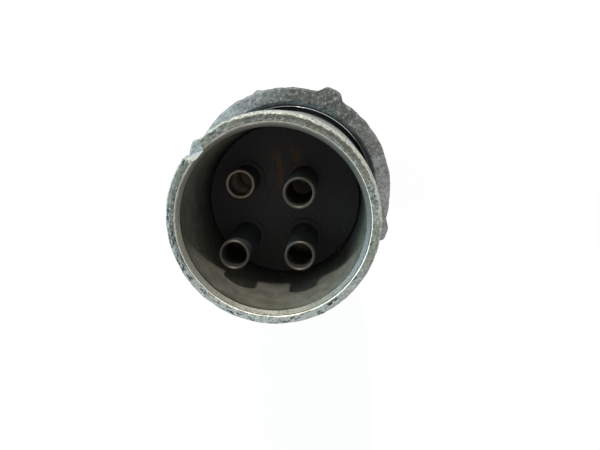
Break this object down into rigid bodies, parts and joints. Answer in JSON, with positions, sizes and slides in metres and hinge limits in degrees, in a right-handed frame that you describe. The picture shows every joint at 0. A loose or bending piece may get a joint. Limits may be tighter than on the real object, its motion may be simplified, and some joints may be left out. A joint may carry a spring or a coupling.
{
  "type": "circular power connector",
  "caption": "Round metal cable plug with a deep keyed cup, hollow tube contacts standing in it, a loose lugged coupling ring and a cable gland.",
  "frame": {"origin": "on the plug's axis, at the flat end face of the gland nut, which it stands on", "axes": "+Z along the plug's axis towards the mouth of the cup; +X and +Y along the sides of the square that the four contacts stand on, with the keyway at 138 degrees from +X"},
  "size_m": [0.0472, 0.0472, 0.0992],
  "materials": {
    "barrel_metal": "worn and pitted, dull grey oxide, pale along the rim",
    "ring_metal": "cast, rough and pitted, grey-brown",
    "shell_metal": "dull grey, lightly worn",
    "insulator": "dark moulded resin, dusty",
    "contact_metal": "tarnished silver plating over brass, tan at the rims",
    "spring_brass": "dull",
    "spring_steel": "dull grey",
    "seal_rubber": "matt black"
  },
  "bodies": {
    "shell": {"front_barrel": "barrel_metal", "flange_gasket": "seal_rubber", "locating_pin": "spring_brass", "insert_snap_ring": "spring_steel", "front_insulator": "insulator", "interface_seal": "seal_rubber", "rear_insulator": "insulator", "insert_retaining_ring": "spring_brass", "contact_upper_left": "contact_metal", "contact_upper_right": "contact_metal", "contact_lower_left": "contact_metal", "contact_lower_right": "contact_metal", "contact_clips": "spring_brass", "shell_gasket": "seal_rubber", "back_shell": "shell_metal", "lock_screws": "spring_steel", "cable_grommet": "seal_rubber", "slip_washer": "spring_brass", "gland_nut": "shell_metal"},
    "ring_washer": {"thrust_washer": "spring_brass"},
    "ring": {"coupling_ring": "ring_metal", "ring_circlip": "spring_steel"}
  },
  "joints": [
    {"name": "ring_slide", "type": "slide", "parent": "shell", "child": "ring_washer", "axis": [0, 0, 1], "range_m": [0, 0.0064]},
    {"name": "ring_spin", "type": "hinge", "parent": "ring_washer", "child": "ring", "pos_m": [0, 0, 0.05115], "axis": [0, 0, 1], "continuous": true}
  ]
}
